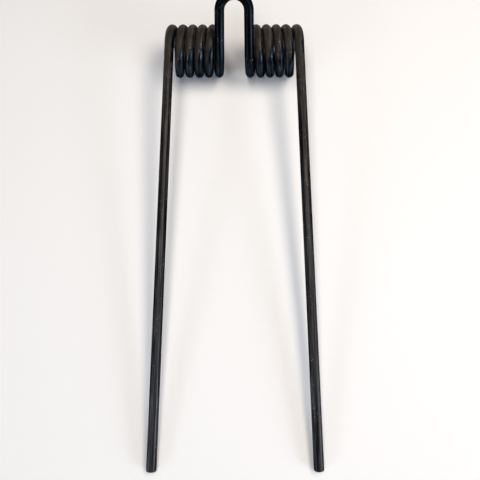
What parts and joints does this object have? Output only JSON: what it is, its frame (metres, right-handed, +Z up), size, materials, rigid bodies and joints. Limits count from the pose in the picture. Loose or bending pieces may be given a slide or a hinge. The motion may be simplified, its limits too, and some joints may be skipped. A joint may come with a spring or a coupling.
{
  "type": "cultivator spring tine",
  "caption": "Double-coil spring tine bent from one steel wire: a narrow fixing loop between two coils, and a long straight leg running out of each coil.",
  "frame": {"origin": "middle of the coils' common axis, halfway between the two coils", "axes": "+X along the coils' axis, -Y from the coils towards the leg tips, +Z up, away from the floor that the coils and tips lie on"},
  "size_m": [0.1638, 0.4451, 0.086],
  "materials": {
    "blackened_steel": "satin black, worn to dull brown-grey on the upper side, with rust dust between the coils' turns"
  },
  "bodies": {
    "root": {"spring_tine": "blackened_steel"}
  },
  "joints": []
}
